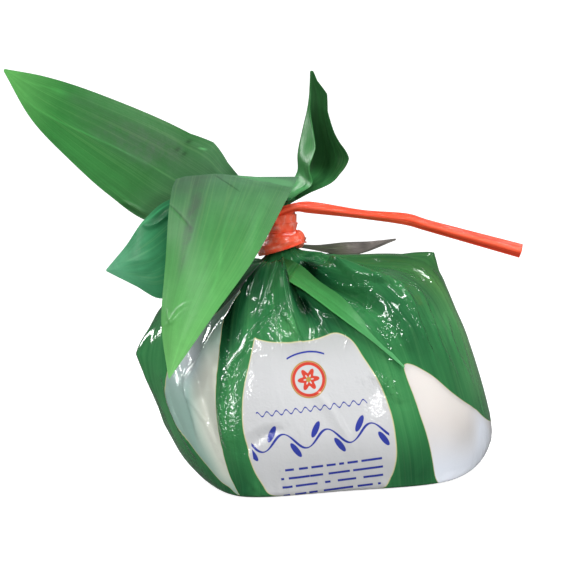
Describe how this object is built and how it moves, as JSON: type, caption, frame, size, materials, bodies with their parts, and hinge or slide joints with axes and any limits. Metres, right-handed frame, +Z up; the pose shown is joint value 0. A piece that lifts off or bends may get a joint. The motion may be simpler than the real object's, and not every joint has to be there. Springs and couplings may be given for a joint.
{
  "type": "burrata in tied leaf-print wrapper",
  "caption": "Soft round cheese in leaf-printed film, gathered to a neck, bound with a flat ribbon whose end stands out, with free leaf-shaped film tips above.",
  "frame": {"origin": "on the surface the pack stands on, under the middle of its flat base", "axes": "+Z up, the label side faces -Y, +X to the right of someone facing the label"},
  "size_m": [0.1829, 0.0962, 0.1556],
  "materials": {
    "wrapper": "glossy crinkled film printed with green leaves, a pale label field and frosted windows over white cheese",
    "ribbon": "glossy thin orange-red plastic ribbon",
    "tip_film": "semi-gloss film with a fine lengthwise leaf-vein print",
    "tip_film_inside": "grey-brown reverse side of the printed film"
  },
  "bodies": {
    "root": {"wrapper": "wrapper", "ribbon": "ribbon", "tip_long_left": "tip_film", "tip_folded_front": "tip_film", "tip_corner_left": "tip_film", "tip_upright_right": "tip_film", "tip_back_right": "tip_film_inside", "pleat_front": "tip_film"}
  },
  "joints": []
}
